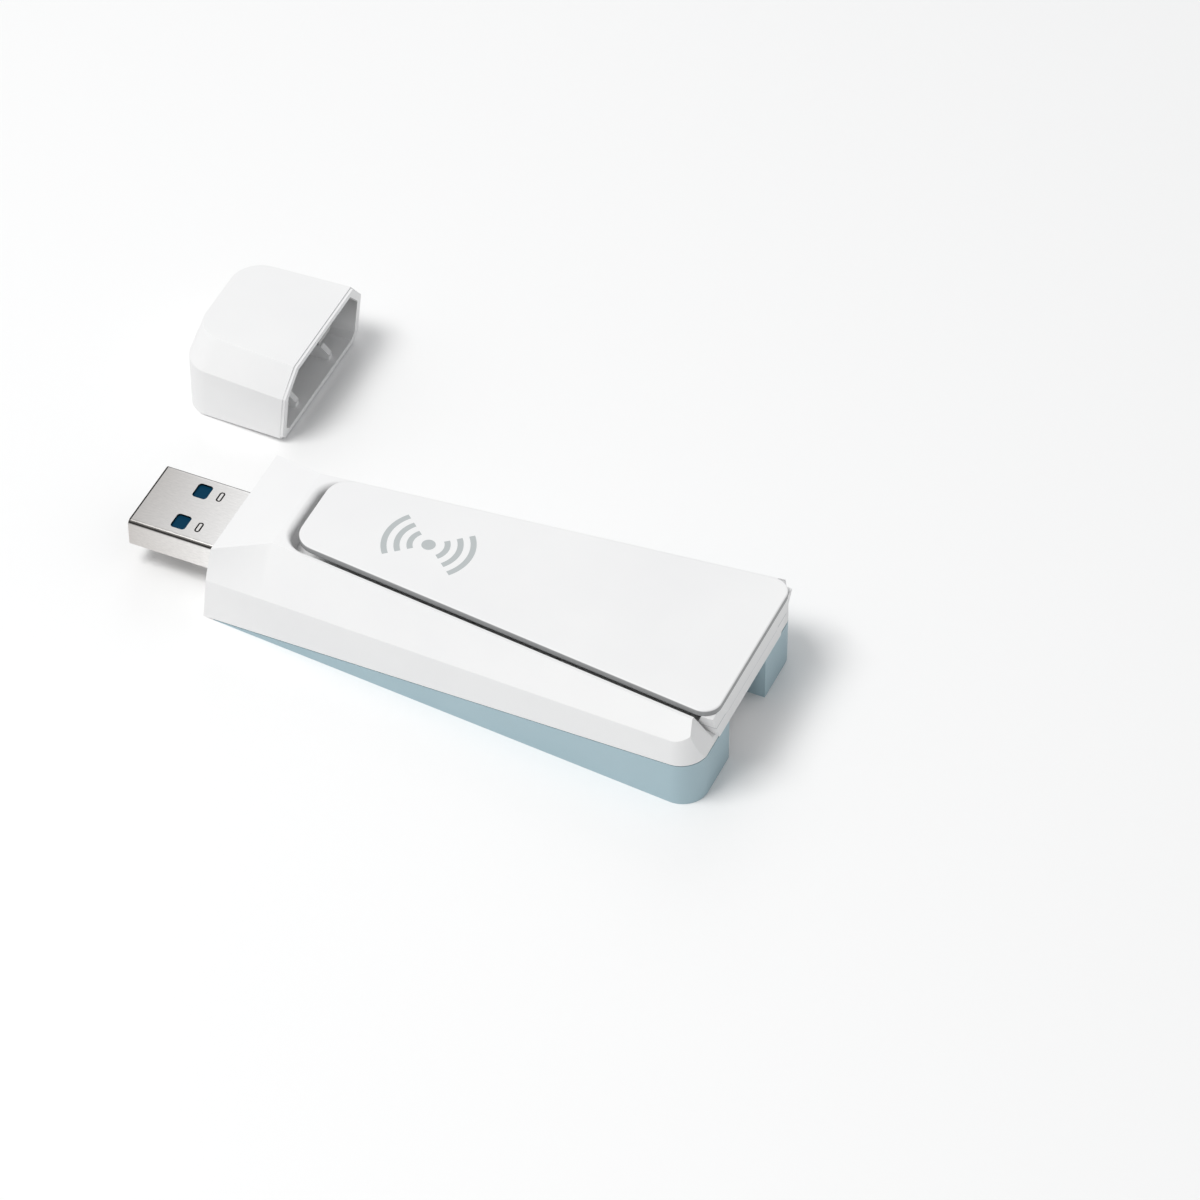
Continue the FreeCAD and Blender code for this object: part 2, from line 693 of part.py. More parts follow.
# ---------------------------------------------------------------- circuit board and what sits on it
def make_main_pcb():
    gap = WALL + PCB_SIDE_GAP
    x0 = PCB_START_X
    x1 = PCB_END_X
    points = [(x0, -half_width(x0) + gap), (x1, -half_width(x1) + gap),
              (x1, half_width(x1) - gap), (x0, half_width(x0) - gap)]
    board = prism(points, PCB_BOTTOM, PCB_TOP)
    holes = [cylinder(SCREW_RADIUS, TALL, x, y, 0) for x, y in screw_places()]
    return board.cut(holes)


def make_pcb_screws():
    screws = []
    for x, y in screw_places():
        shank = cylinder(SCREW_RADIUS, SCREW_LENGTH, x, y, PCB_TOP - SCREW_LENGTH)
        head = cylinder(SCREW_HEAD_RADIUS, SCREW_HEAD_HEIGHT, x, y, PCB_TOP)
        top = PCB_TOP + SCREW_HEAD_HEIGHT
        low = top - SCREW_SLOT_DEPTH
        reach = SCREW_SLOT_REACH
        thin = SCREW_SLOT_WIDTH / 2
        cross = [box(x - reach, x + reach, y - thin, y + thin, low, top),
                 box(x - thin, x + thin, y - reach, y + reach, low, top)]
        screws.append(shank.fuse(head).cut(cross))
    return Part.makeCompound(screws)


def make_shield_frame():
    outer = slab(SHIELD_X, SHIELD_X + SHIELD_LENGTH, SHIELD_WIDTH / 2,
                 PCB_TOP, SHIELD_TOP - SHIELD_SHEET)
    inner = slab(SHIELD_X + SHIELD_SHEET, SHIELD_X + SHIELD_LENGTH - SHIELD_SHEET,
                 SHIELD_WIDTH / 2 - SHIELD_SHEET, PCB_TOP, SHIELD_TOP)
    return outer.cut(inner)


def make_shield_can():
    """Lid that clips over the frame."""
    grow = SHIELD_SHEET
    outer = slab(SHIELD_X - grow, SHIELD_X + SHIELD_LENGTH + grow, SHIELD_WIDTH / 2 + grow,
                 PCB_TOP + SHIELD_SKIRT_LIFT, SHIELD_TOP)
    inner = slab(SHIELD_X, SHIELD_X + SHIELD_LENGTH, SHIELD_WIDTH / 2,
                 PCB_TOP, SHIELD_TOP - SHIELD_SHEET)
    return outer.cut(inner)


def board_block(x, y, size_x, size_y, height):
    """Rectangular component centred on a board position."""
    return box(x - size_x / 2, x + size_x / 2, y - size_y / 2, y + size_y / 2, PCB_TOP, PCB_TOP + height)


def make_wifi_chip():
    return board_block(SHIELD_X + CHIP_OFFSET, 0, CHIP_SIZE, CHIP_SIZE, CHIP_THICKNESS)


def make_thermal_pad():
    x = SHIELD_X + CHIP_OFFSET
    half = CHIP_SIZE / 2 - SHIELD_SHEET
    return box(x - half, x + half, -half, half, PCB_TOP + CHIP_THICKNESS, SHIELD_TOP - SHIELD_SHEET)


def make_heat_spreader():
    return slab(SHIELD_X + SPREADER_INSET, SHIELD_X + SHIELD_LENGTH - SPREADER_INSET,
                SHIELD_WIDTH / 2 - SPREADER_INSET, SHIELD_TOP, SHIELD_TOP + SPREADER_THICKNESS)


def make_front_end_modules():
    modules = []
    for side in (-1, 1):
        modules.append(board_block(SHIELD_X + FRONT_END_OFFSET, side * FRONT_END_SPREAD,
                                   FRONT_END_SIZE, FRONT_END_SIZE, FRONT_END_THICKNESS))
    return Part.makeCompound(modules)


def make_crystal():
    length, width, height = CRYSTAL_SIZE
    x = SHIELD_X + CRYSTAL_OFFSET[0] + length / 2
    return board_block(x, -CRYSTAL_OFFSET[1], length, width, height)


def make_power_inductor():
    return board_block(FRONT_X + POWER_START, -POWER_OFFSET, INDUCTOR_SIZE, INDUCTOR_SIZE,
                       INDUCTOR_HEIGHT)


def make_voltage_regulator():
    length, width, height = REGULATOR_SIZE
    return board_block(FRONT_X + POWER_START, POWER_OFFSET, length, width, height)


def make_smd_parts():
    """Small capacitors and resistors in two rows behind the shield."""
    length, width, height = SMD_SIZE
    parts = []
    for row in range(2):
        for i in range(SMD_ROW_COUNT):
            x = SHIELD_X + SHIELD_LENGTH + SMD_SETBACK + row * SMD_ROW_PITCH
            y = (i - (SMD_ROW_COUNT - 1) / 2) * SMD_PITCH
            parts.append(board_block(x, y, length, width, height))
    return Part.makeCompound(parts)


def socket_place():
    screw_y = screw_places()[-1][1]
    return PCB_END_X - SOCKET_SETBACK, screw_y - SOCKET_SCREW_PITCH


def make_coax_sockets():
    x, y = socket_place()
    base = board_block(x, y, SOCKET_BASE, SOCKET_BASE, SOCKET_BASE_HEIGHT)
    barrel = cylinder(SOCKET_RADIUS, SOCKET_HEIGHT, x, y, PCB_TOP + SOCKET_BASE_HEIGHT)
    return Part.makeCompound(both_sides(base.fuse(barrel)))


def make_coax_plugs():
    """Snap-on plugs with the crimp that holds each cable."""
    x, y = socket_place()
    z = PCB_TOP + SOCKET_BASE_HEIGHT
    cup = cylinder(COAX_PLUG_RADIUS, COAX_PLUG_HEIGHT, x, y, z)
    cup = cup.cut(cylinder(SOCKET_RADIUS, SOCKET_HEIGHT, x, y, z))
    seat = x + COAX_PLUG_RADIUS - COAX_SEAT
    reach = COAX_SEAT + CRIMP_LENGTH
    crimp = cylinder(COAX_RADIUS + CRIMP_WALL, reach, seat, y, COAX_HEIGHT, V(1, 0, 0))
    crimp = crimp.common(box(seat, seat + reach, -WIDE, WIDE, z, TALL))
    plug = cup.fuse(crimp)
    plug = plug.cut(cylinder(COAX_RADIUS, reach, seat, y, COAX_HEIGHT, V(1, 0, 0)))
    return Part.makeCompound(both_sides(plug))


def make_housing_coax():
    """Cable from the board plug, round the side of the hinge bay and in along the hinge axis."""
    x, y = socket_place()
    start = x + COAX_PLUG_RADIUS - COAX_SEAT
    run = half_width(HINGE_X) - WALL - COAX_SIDE_GAP
    points = [(start, y, COAX_HEIGHT), (x + COAX_STRAIGHT, y, COAX_HEIGHT),
              (x + COAX_SIDESTEP, run, HINGE_HEIGHT), (HINGE_X, run, HINGE_HEIGHT),
              (HINGE_X, PIN_INNER_END + COAX_AXIS_GAP, HINGE_HEIGHT)]
    return swept_tube(points, COAX_BEND, COAX_RADIUS)


# ---------------------------------------------------------------- hinge hardware
def make_hinge_pins():
    """Hollow pins: pressed into the lugs, running in the knuckle, with a cable through each."""
    length = SLOT_HALF + LUG_WIDTH - PIN_INNER_END
    pin = cylinder(PIN_RADIUS, length, HINGE_X, PIN_INNER_END, HINGE_HEIGHT, V(0, 1, 0))
    pin = pin.cut(pin_bore(PIN_BORE))
    return Part.makeCompound(both_sides(pin))


def make_friction_washers():
    """Spring washers beside the barrel that give the hinge its drag."""
    gap = (SLOT_HALF - BARREL_WIDTH / 2 - WASHER_THICKNESS) / 2
    washer = cylinder(WASHER_RADIUS, WASHER_THICKNESS, HINGE_X, BARREL_WIDTH / 2 + gap, HINGE_HEIGHT,
                      V(0, 1, 0))
    washer = washer.cut(pin_bore(PIN_RADIUS))
    return Part.makeCompound(both_sides(washer))


# ---------------------------------------------------------------- antenna arm
def arm_skirt():
    """Rear apron of the arm, hollowed round the hinge axis so that it clears the rear wall."""
    low = HINGE_HEIGHT
    apron = side_prism([(ARM_END_X - ARM_STEP, ARM_SPLIT), (REAR_X + ARM_STEP, low), (HINGE_X, low),
                        (ARM_END_X - ARM_STEP - SKIRT_THICKNESS, ARM_SPLIT)], WIDE)
    apron = apron.cut(cylinder(SKIRT_INNER_RADIUS, 2 * WIDE, HINGE_X, -WIDE, HINGE_HEIGHT, V(0, 1, 0)))
    top_half = arm_half_width(REAR_X) - ARM_STEP
    low_half = top_half - SKIRT_TAPER * (ARM_SPLIT - low)
    flanks = end_prism([(-low_half, low), (low_half, low), (top_half, ARM_SPLIT),
                        (-top_half, ARM_SPLIT)], HINGE_X, ARM_END_X)
    return apron.common(flanks)


def arm_knuckle():
    """Neck and barrel that carry the arm on the hinge pins."""
    barrel = cylinder(KNUCKLE_RADIUS, BARREL_WIDTH, HINGE_X, -BARREL_WIDTH / 2, HINGE_HEIGHT,
                      V(0, 1, 0))
    skirt_reach = math.sqrt(SKIRT_INNER_RADIUS ** 2 - KNUCKLE_RADIUS ** 2)
    rear = HINGE_X + skirt_reach - KNUCKLE_SKIRT_GAP
    neck = side_prism([(HINGE_X - KNUCKLE_RADIUS, HINGE_HEIGHT), (HINGE_X + KNUCKLE_RADIUS, HINGE_HEIGHT),
                       (rear, HINGE_HEIGHT + KNUCKLE_RADIUS), (HINGE_X + KNUCKLE_NECK, ARM_FLOOR_TOP),
                       (HINGE_X - KNUCKLE_NECK, ARM_FLOOR_TOP)], KNUCKLE_WIDTH / 2)
    side_relief = WASHER_RADIUS + SLOT_CLEARANCE
    relief = cylinder(side_relief, 2 * WIDE, HINGE_X, -WIDE, HINGE_HEIGHT, V(0, 1, 0))
    relief = relief.cut(slab(HINGE_X - TALL, HINGE_X + TALL, BARREL_WIDTH / 2, -TALL, TALL))
    return [barrel, neck.cut(relief)]


def arm_cable_channel():
    """Passage for the cables from the hinge axis up into the arm."""
    half = PIN_INNER_END
    return slab(HINGE_X - PIN_RADIUS, HINGE_X + PIN_RADIUS, half, HINGE_HEIGHT - PIN_RADIUS,
                ARM_FLOOR_TOP + BEYOND)


def make_antenna_inner_cover():
    tray = arm_frustum(0, ARM_SPLIT, ARM_UNDERSIDE, ARM_END_X - ARM_STEP)
    room = arm_frustum(-ARM_WALL, ARM_SPLIT, ARM_FLOOR_TOP, ARM_END_X - ARM_STEP - ARM_WALL)
    tray = tray.cut(cylinder(SKIRT_INNER_RADIUS, 2 * WIDE, HINGE_X, -WIDE, HINGE_HEIGHT, V(0, 1, 0)))
    cover = tray.fuse([arm_skirt()] + arm_knuckle())
    cover = cover.cut([room, arm_cable_channel(), pin_bore(PIN_RADIUS + PIN_RUNNING_CLEARANCE)])
    return cover.removeSplitter()


def make_antenna_outer_cover():
    """Flat face of the arm with the rib that locates it in the tray."""
    plate = Part.Face(arm_outline(0, ARM_TIP_RADIUS, ARM_SPLIT, ARM_END_X)).extrude(V(0, 0, ARM_RIM))
    middle = (ARM_SPLIT + ARM_TOP) / 2
    top_edges = [e for e in plate.Edges if min(v.Z for v in e.Vertexes) > middle]
    plate = plate.makeFillet(ARM_STEP, top_edges)
    low = ARM_SPLIT - ARM_RIB_HEIGHT
    outer = ARM_RIB_INSET
    inner = ARM_RIB_INSET + ARM_RIB_THICKNESS
    rib = Part.Face(arm_outline(outer, ARM_TIP_RADIUS_LOW, low, ARM_END_X - outer))
    hole = Part.Face(arm_outline(inner, ARM_TIP_RADIUS_LOW, low, ARM_END_X - inner))
    rib = rib.extrude(V(0, 0, ARM_RIB_HEIGHT)).cut(hole.extrude(V(0, 0, ARM_RIB_HEIGHT)))
    return plate.fuse(rib).removeSplitter()


def board_levels():
    top = ARM_SPLIT - ARM_BOARD_DROP
    return top - ARM_BOARD_THICKNESS, top


def arm_board_outline():
    """Plan points of one printed antenna board, on the +Y side of the arm."""
    x0 = ARM_TIP_X + ARM_BOARD_INSET
    x1 = x0 + ARM_BOARD_LENGTH
    y0 = ARM_BOARD_GAP / 2
    return [(x0, y0), (x1, y0), (x1, arm_half_width(x1) - ARM_BOARD_INSET),
            (x0, arm_half_width(x0) - ARM_BOARD_INSET)]


def make_antenna_board():
    low, top = board_levels()
    return prism(arm_board_outline(), low, top)


def make_antenna_traces():
    """Meandered copper radiator on top of one board."""
    top = board_levels()[1]
    x0 = ARM_TIP_X + ARM_BOARD_INSET + TRACE_PITCH
    y0 = ARM_BOARD_GAP / 2 + TRACE_WIDTH / 2
    y1 = arm_half_width(x0) - ARM_BOARD_INSET - TRACE_WIDTH * 1.5
    strips = []
    for i in range(TRACE_COUNT):
        x = x0 + i * TRACE_PITCH
        strips.append(box(x, x + TRACE_WIDTH, y0, y1, top, top + TRACE_THICKNESS))
        low = y0 if i % 2 else y1 - TRACE_WIDTH
        strips.append(box(x, x + TRACE_PITCH + TRACE_WIDTH, low, low + TRACE_WIDTH,
                          top, top + TRACE_THICKNESS))
    return strips[0].fuse(strips[1:]).removeSplitter()


def make_arm_coax():
    """Cable from the hinge axis up the knuckle and forward under its antenna board."""
    board_end = ARM_TIP_X + ARM_BOARD_INSET + ARM_BOARD_LENGTH - ARM_COAX_OVERLAP
    points = [(HINGE_X, PIN_INNER_END - COAX_AXIS_GAP, HINGE_HEIGHT),
              (HINGE_X, COAX_ARM_OFFSET, HINGE_HEIGHT),
              (HINGE_X, COAX_ARM_OFFSET, COAX_ARM_HEIGHT), (board_end, COAX_ARM_OFFSET, COAX_ARM_HEIGHT)]
    return swept_tube(points, COAX_ARM_BEND, COAX_RADIUS)


# ---------------------------------------------------------------- plug cap
def cap_section(inset, top_inset, side_edge):
    """End-view outline of the cap, inset all round, as (y, z) points."""
    half = CAP_WIDTH / 2 - inset
    top = CAP_HEIGHT - inset
    top_half = half - top_inset
    low = inset
    bevel = low + CAP_LOW_ROUND
    return [(-half + CAP_LOW_ROUND, low), (half - CAP_LOW_ROUND, low), (half, bevel), (half, side_edge),
            (top_half, top), (-top_half, top), (-half, side_edge), (-half, bevel)]


def cap_plan(mouth_x, end_x, half):
    """Plan outline of the cap, a little narrower at its closed end."""
    tip_half = half - CAP_TIP_TAPER
    return [(mouth_x, -half), (mouth_x, half), (end_x, tip_half), (end_x, -tip_half)]


def cap_keel(mouth_x, end_x, inset):
    """Room above the two bevelled lower edges."""
    half = CAP_WIDTH / 2 - inset
    wide = half + BEYOND
    bevel = inset + CAP_LOW_ROUND + BEYOND
    return end_prism([(-half + CAP_LOW_ROUND, inset), (half - CAP_LOW_ROUND, inset), (wide, bevel),
                      (wide, TALL), (-wide, TALL), (-wide, bevel)], end_x, mouth_x)


def cap_solid(mouth_x, end_x, inset, top_inset, side_edge, tip_radius):
    """Upright sides and a sloping shoulder, both with rounded plan corners at the closed end."""
    half = CAP_WIDTH / 2 - inset
    radii = [0, 0, tip_radius, tip_radius]
    plan = cap_plan(mouth_x, end_x, half)
    crown = cap_plan(mouth_x, end_x + CAP_END_SLOPE, half - top_inset)
    sides = rounded_prism(plan, radii, inset, side_edge)
    shoulder = Part.makeLoft([rounded_wire(plan, radii, side_edge),
                              rounded_wire(crown, radii, CAP_HEIGHT - inset)], True, True)
    return sides.fuse(shoulder).common(cap_keel(mouth_x, end_x, inset))


def ahead_of_mouth(mouth_x):
    """Everything in front of the leaning mouth plane, which is parallel to the housing's front."""
    lean = FRONT_LEAN / FRONT_HEIGHT
    return side_prism([(mouth_x - lean * BEYOND, -BEYOND), (mouth_x + lean * TALL, TALL),
                       (mouth_x + WIDE, TALL), (mouth_x + WIDE, -BEYOND)], WIDE)


def cap_lip(mouth_x):
    """Shallow step round the mouth."""
    start = mouth_x - CAP_LIP_DEPTH
    keep = end_prism(cap_section(CAP_LIP_STEP, CAP_TOP_INSET, CAP_SIDE_EDGE), start - BEYOND,
                     mouth_x + CAP_LENGTH)
    return ahead_of_mouth(start).cut(keep)


def cap_ribs(mouth_x, inner_end):
    """Two floor ribs that carry the plug, with sloping noses, and the ceiling pad out to the mouth."""
    rib_top = PLUG_BOTTOM - CAP_RIB_CLEARANCE
    nose = mouth_x - CAP_RIB_SETBACK
    back = inner_end - CAP_END_WALL / 2
    low = CAP_WALL / 2
    profile = [(back, low), (nose, low), (nose, rib_top - CAP_RIB_NOSE),
               (nose - CAP_RIB_NOSE, rib_top), (back, rib_top)]
    ribs = []
    for side in (-1, 1):
        rib = side_prism(profile, CAP_RIB_WIDTH / 2)
        rib.translate(V(0, side * CAP_RIB_OFFSET, 0))
        ribs.append(rib)
    pad_low = CAP_HEIGHT - CAP_WALL - CAP_PAD_DROP
    pad = slab(back, mouth_x + FRONT_LEAN, CAP_PAD_WIDTH / 2, pad_low, CAP_HEIGHT - CAP_WALL / 2)
    return ribs + [pad]


def make_plug_cap():
    mouth = FRONT_X - CAP_SEAT_GAP - CAP_PARKED_BACK
    end = mouth - CAP_LENGTH
    inner_end = end + CAP_END_WALL
    front = mouth + FRONT_LEAN + BEYOND
    outer = cap_solid(front, end, 0, CAP_TOP_INSET, CAP_SIDE_EDGE, CAP_TIP_RADIUS)
    room = cap_solid(front + BEYOND, inner_end, CAP_WALL, CAP_TOP_INSET_INNER, CAP_SIDE_EDGE_INNER,
                     CAP_TIP_RADIUS - CAP_WALL)
    cap = outer.cut(room).fuse(cap_ribs(mouth, inner_end))
    cap = cap.cut([cap_lip(mouth), ahead_of_mouth(mouth)]).removeSplitter()
    cap.translate(V(0, CAP_PARKED_SIDE, 0))
    return cap


# ---------------------------------------------------------------- write one file per piece
def pieces():
    housing_coax = make_housing_coax()
    arm_coax = make_arm_coax()
    board = make_antenna_board()
    traces = make_antenna_traces()
    return {
        "top_housing": make_top_housing(),
        "bottom_shell": make_bottom_shell(),
        "usb_plug_shell": make_usb_plug_shell(),
        "usb_insulator": make_usb_insulator(),
        "usb2_contacts": make_usb2_contacts(),
        "superspeed_contacts": make_superspeed_contacts(),
        "main_pcb": make_main_pcb(),
        "pcb_screws": make_pcb_screws(),
        "shield_frame": make_shield_frame(),
        "shield_can": make_shield_can(),
        "wifi_chip": make_wifi_chip(),
        "thermal_pad": make_thermal_pad(),
        "heat_spreader": make_heat_spreader(),
        "front_end_modules": make_front_end_modules(),
        "crystal": make_crystal(),
        "power_inductor": make_power_inductor(),
        "voltage_regulator": make_voltage_regulator(),
        "smd_parts": make_smd_parts(),
        "coax_sockets": make_coax_sockets(),
        "coax_plugs": make_coax_plugs(),
        "housing_coax_left": mirrored(housing_coax),
        "housing_coax_right": housing_coax,
        "hinge_pins": make_hinge_pins(),
        "friction_washers": make_friction_washers(),
        "antenna_inner_cover": make_antenna_inner_cover(),
        "antenna_outer_cover": make_antenna_outer_cover(),
        "antenna_board_left": mirrored(board),
        "antenna_board_right": board,
        "antenna_trace_left": mirrored(traces),
        "antenna_trace_right": traces,
        "arm_coax_left": mirrored(arm_coax),
        "arm_coax_right": arm_coax,
        "plug_cap": make_plug_cap(),
    }


def main():
    os.makedirs("parts", exist_ok=True)
    for name, shape in pieces().items():
        shape.exportStep(os.path.join("parts", name + ".step"))


main()
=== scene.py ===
"""Looks of the USB wireless adapter: materials, softened edges, camera, light and floor.

The scene is in metres, in the CAD frame: +X runs from the plug to the hinge, +Z is up.
The named sizes below are in millimetres and the angles in degrees, unless a note says otherwise.
"""
import json
import math

import bmesh
import bpy
from mathutils import Matrix, Vector


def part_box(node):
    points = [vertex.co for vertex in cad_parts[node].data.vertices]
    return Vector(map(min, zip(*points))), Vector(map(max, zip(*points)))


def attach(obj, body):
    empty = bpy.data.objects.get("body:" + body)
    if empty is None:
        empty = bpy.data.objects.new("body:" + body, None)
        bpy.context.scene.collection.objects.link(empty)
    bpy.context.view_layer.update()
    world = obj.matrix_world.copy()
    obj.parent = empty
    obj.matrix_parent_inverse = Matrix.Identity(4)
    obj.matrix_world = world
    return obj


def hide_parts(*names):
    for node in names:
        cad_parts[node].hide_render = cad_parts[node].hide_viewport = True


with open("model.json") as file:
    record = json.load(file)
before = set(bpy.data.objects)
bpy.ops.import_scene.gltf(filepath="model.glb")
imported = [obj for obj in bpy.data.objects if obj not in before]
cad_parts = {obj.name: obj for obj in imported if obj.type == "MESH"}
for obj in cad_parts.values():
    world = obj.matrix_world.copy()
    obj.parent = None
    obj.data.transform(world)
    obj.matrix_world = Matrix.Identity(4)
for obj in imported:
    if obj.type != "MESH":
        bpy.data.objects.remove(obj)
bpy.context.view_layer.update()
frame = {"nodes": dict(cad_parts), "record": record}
MM = 0.001

# ---------------------------------------------------------------- camera and light
# Places and distances here are in metres, apart from the lens and the sensor.
CAMERA_AZIMUTH = 24.23
CAMERA_ELEVATION = 45.06
CAMERA_DISTANCE = 0.7971
CAMERA_AIM = (0.01231, 0.00808, 0.0060)
CAMERA_LENS = 181.5
CAMERA_SENSOR = 36.0
WORLD_LEVEL = 0.50
WORLD_COLOUR = (0.98, 0.99, 1.0)
FLOOR_SIZE = 4.0
FLOOR_COLOUR = (0.93, 0.93, 0.93)
FLOOR_ROUGHNESS = 0.55
FLOOR_GRAIN = 0.4
# name: (place, aim, size, power, colour)
LIGHTS = {
    "key_light": ((-0.28, -0.31, 0.87), (0.0, 0.0, 0.0), 0.40, 5.6, (1.0, 0.995, 0.985)),
    "back_light": ((-0.25, 0.75, 0.55), (0.0, 0.0, 0.0), 0.50, 0.7, (0.98, 0.99, 1.0)),
}

# ---------------------------------------------------------------- edges
MERGE_DISTANCE = 0.0005
MERGE_ANGLE = 0.6
SHARP_ANGLE = 25.0
RIDGE_ANGLE = 6.0
RIDGE_FACE_WIDTH = 1.3
NORMAL_WEIGHT = 90
# node: (width of the softened edge, segments)
SOFT_EDGES = {
    "top_housing": (0.30, 3),
    "bottom_shell": (0.22, 2),
    "antenna_outer_cover": (0.12, 2),
    "antenna_inner_cover": (0.16, 2),
    "plug_cap": (0.34, 3),
}
# The white and blue shells meet on a sloping plane, where their edges stay crisp.
PARTING_START = 1.5
PARTING_RISE = 7.2
PARTING_REACH = 0.25
PARTING_EDGE_SHARE = 0.25
# The cap's mouth has a thin lip, so its edges are rounded only slightly.
MOUTH_BAND = 2.2
MOUTH_EDGE_SHARE = 0.2

# ---------------------------------------------------------------- mark on the arm
MARK_START = 16.7
MARK_DOT_RADIUS = 0.95
MARK_ARC_RADII = (2.5, 4.2, 5.9)
MARK_ARC_WIDTH = 0.8
MARK_ARC_HALF_ANGLE = 40.0
MARK_COLOUR = (0.47, 0.50, 0.505)

# ---------------------------------------------------------------- shell plastic
# Colours are linear. A tone drifts slowly over a piece; a fine grain roughens its surface.
DRIFT_SCALE = 0.055
DRIFT_DETAIL = 3.0
DRIFT_STOPS = (0.30, 0.70)
GRAIN_SCALE = 5.5
GRAIN_DETAIL = 2.0
GRAIN_ROUGHNESS = 0.6
GRAIN_RANGE = (0.3, 0.7)
GRAIN_DEPTH = 0.012
GRAIN_STRENGTH = 0.35
SHELL_LIGHT = (0.86, 0.86, 0.86)
SHELL_SHADE = (0.83, 0.83, 0.835)
FACE_ROUGHNESS = (0.38, 0.50)
TRAY_ROUGHNESS = (0.40, 0.52)
PLASTIC_SPREAD = (0.05, 0.07)
# slot: (material, light tone, shaded tone, roughness, grain scale, depth, strength, specular level)
PLAIN_PLASTICS = {
    "white_shell": ("white_plastic", (0.875, 0.875, 0.875), (0.845, 0.845, 0.85), 0.42,
                    5.5, 0.012, 0.30, 0.5),
    "blue_shell": ("blue_plastic", (0.40, 0.535, 0.59), (0.365, 0.50, 0.555), 0.40,
                   6.0, 0.012, 0.25, 0.5),
    "blue_insulator": ("insulator_blue", (0.002, 0.042, 0.088), (0.001, 0.030, 0.070), 0.50,
                       4.0, 0.01, 0.2, 0.05),
}

# ---------------------------------------------------------------- arm
# A grey band of painted shade runs round the edge of the face; the tray's flat underside is greyer than
# its border.
ARM_BAND_PAINTED_SHADE = (0.30, 0.305, 0.31)
ARM_BAND_TOP = 0.10
ARM_BAND_BLUR = 0.16
ARM_PANEL_COLOUR = (0.56, 0.575, 0.58)
ARM_PANEL_HEIGHT = 10.8
ARM_PANEL_REACH = 0.08

# ---------------------------------------------------------------- cap
# Painted shade darkens the cavity, which lies within the walls and under the shoulder, on which across +
# slope * height is constant.
CAP_ROOM_WALL = 1.15
CAP_ROOM_START = 5.2
CAP_ROOM_FULL = 6.4
CAP_ROOM_SLOPE = 0.903
CAP_ROOM_SHOULDER = 18.0
CAP_ROOM_PAINTED_SHADE = (0.34, 0.34, 0.34)
CAP_PAINTED_SHADE_START = 3.4
CAP_PAINTED_SHADE_END = 10.0

# ---------------------------------------------------------------- metal
METAL_DRIFT_SCALE = 0.12
METAL_DRIFT_STOPS = (0.32, 0.68)
METAL_DETAIL = 3.0
METAL_GRAIN_ROUGHNESS = 0.65
METAL_SPREAD = (0.06, 0.09)

# ---------------------------------------------------------------- plug
PLUG_GRAIN_SCALE = 2.6
PLUG_GRAIN_STRETCH = (0.5, 1.6, 1.6)
PLUG_SPECKLE_SHADE = (0.86, 0.86, 0.86)
PLUG_SPECKLE_LIGHT = (1.0, 1.0, 1.0)
PLUG_ROUGHNESS = (0.30, 0.44)
PLUG_GRAIN_DEPTH = 0.006
# The plug's tone runs from the tip to a painted reflection of the white housing at its root.
PLUG_TIP_TONE = (0.64, 0.615, 0.595)
PLUG_ROOT_PAINTED_REFLECTION = (0.98, 0.965, 0.95)
# Painted dark reflection on the rounded top edges and painted shade in the embossed lines.
PLUG_PAINTED_REFLECTION_AND_SHADE = (0.045, 0.043, 0.041)
PLUG_EDGE_WIDTH = 0.50
PLUG_EDGE_BLUR = 0.12
PLUG_TIP_WIDTH = 0.22
PLUG_TOP_BAND = 0.44
PLUG_EMBOSS_DEPTH = 0.05
PLUG_EMBOSS_HALF_WIDTH = 5.0

# ---------------------------------------------------------------- circuit board
BOARD_WEAVE_SCALE = 1.3
BOARD_WEAVE_DETAIL = 1.0
BOARD_WEAVE_FALLOFF = 0.5
BOARD_WEAVE_STRETCH = (1.0, 0.35, 1.0)
BOARD_STOPS = [(0.35, (0.01, 0.11, 0.05)), (0.5, (0.02, 0.17, 0.08)), (0.65, (0.03, 0.22, 0.10))]
BOARD_ROUGHNESS = (0.28, 0.42)
BOARD_WEAVE_DEPTH = 0.02
BOARD_WEAVE_STRENGTH = 0.3

# ---------------------------------------------------------------- small parts
# slot: (light tone, shaded tone, roughness)
SMALL_PLASTICS = {
    "chip_black": ((0.035, 0.035, 0.04), (0.022, 0.022, 0.025), 0.48),
    "thermal_pad": ((0.42, 0.50, 0.58), (0.36, 0.43, 0.50), 0.75),
    "ferrite": ((0.11, 0.11, 0.115), (0.07, 0.07, 0.075), 0.62),
    "ceramic": ((0.52, 0.43, 0.33), (0.42, 0.34, 0.26), 0.50),
    "coax_jacket": ((0.06, 0.06, 0.065), (0.04, 0.04, 0.042), 0.45),
}
# slot: (light tone, shaded tone, roughness, grain stretch)
SMALL_METALS = {
    "gold_contact": ((0.83, 0.62, 0.27), (0.72, 0.52, 0.20), 0.24, (1, 1, 1)),
    "screw_steel": ((0.60, 0.60, 0.60), (0.50, 0.50, 0.51), 0.30, (1, 1, 1)),
    "tinned_sheet": ((0.72, 0.71, 0.69), (0.62, 0.61, 0.60), 0.34, (1.0, 0.2, 1.0)),
    "heat_spreader": ((0.78, 0.78, 0.79), (0.70, 0.70, 0.71), 0.32, (0.2, 1.0, 1.0)),
    "pin_brass": ((0.72, 0.56, 0.28), (0.60, 0.46, 0.22), 0.28, (1.0, 0.2, 1.0)),
    "spring_steel": ((0.48, 0.48, 0.50), (0.40, 0.40, 0.42), 0.30, (1, 1, 1)),
    "copper": ((0.76, 0.40, 0.23), (0.66, 0.33, 0.18), 0.28, (1, 1, 1)),
}


# ---------------------------------------------------------------- material helpers
def new_material(name):
    material = bpy.data.materials.new(name)
    material.use_nodes = True
    return material, material.node_tree.nodes, material.node_tree.links


def set_socket(node, socket, value):
    node.inputs[socket].default_value = value


def colour(value):
    return (value[0], value[1], value[2], 1.0)


